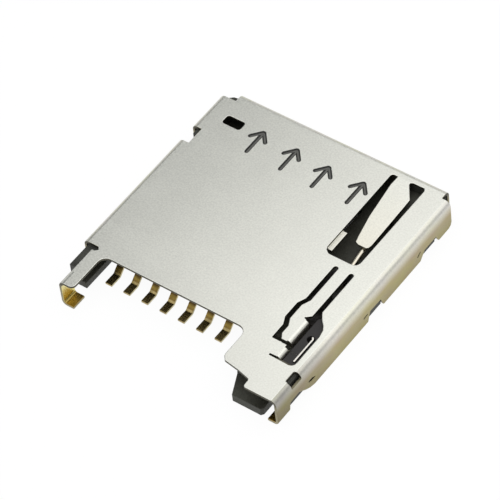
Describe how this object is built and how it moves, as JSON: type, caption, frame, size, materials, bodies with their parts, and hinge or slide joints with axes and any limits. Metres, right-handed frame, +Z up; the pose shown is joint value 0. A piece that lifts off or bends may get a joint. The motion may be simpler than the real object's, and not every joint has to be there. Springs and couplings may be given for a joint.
{
  "type": "push-push card socket",
  "caption": "Low surface-mount push-push card socket: stamped steel cover over a black moulded base with sprung contacts, a sprung slider and a wire cam pin.",
  "frame": {"origin": "middle of the cover's footprint, on the circuit board", "axes": "X along the card mouth, +Y from the mouth to the rear wall, +Z up from the board"},
  "size_m": [0.0138, 0.0155, 0.0017],
  "materials": {
    "shell": "satin stamped sheet",
    "moulding": "moulded, dull",
    "contacts": "gold over nickel, satin",
    "slider": "moulded, slick",
    "wire": "drawn wire, bright"
  },
  "bodies": {
    "housing": {"cover": "shell", "base": "moulding", "contact_1": "contacts", "contact_2": "contacts", "contact_3": "contacts", "contact_4": "contacts", "contact_5": "contacts", "contact_6": "contacts", "contact_7": "contacts", "contact_8": "contacts", "switch_fixed": "contacts", "switch_spring": "contacts", "coil_spring": "wire"},
    "slide": {"slider": "slider", "lock_spring": "wire"},
    "pin": {"cam_pin": "wire"}
  },
  "joints": [
    {"name": "slider_push", "type": "slide", "parent": "housing", "child": "slide", "axis": [0, 1, 0], "range_m": [0, 0.0024], "stiffness_N_per_m": 150, "springref_m": -0.0015, "deforming": ["coil_spring"]},
    {"name": "pin_swing", "type": "hinge", "parent": "housing", "child": "pin", "pos_m": [0.00438, 0.0053, 0.001], "axis": [0, 0, 1], "range_deg": [-6.5, 6.5]}
  ],
  "couplings": [
    {"joint": "pin_swing", "follows": "slider_push", "rad_per_m": -42.5}
  ]
}
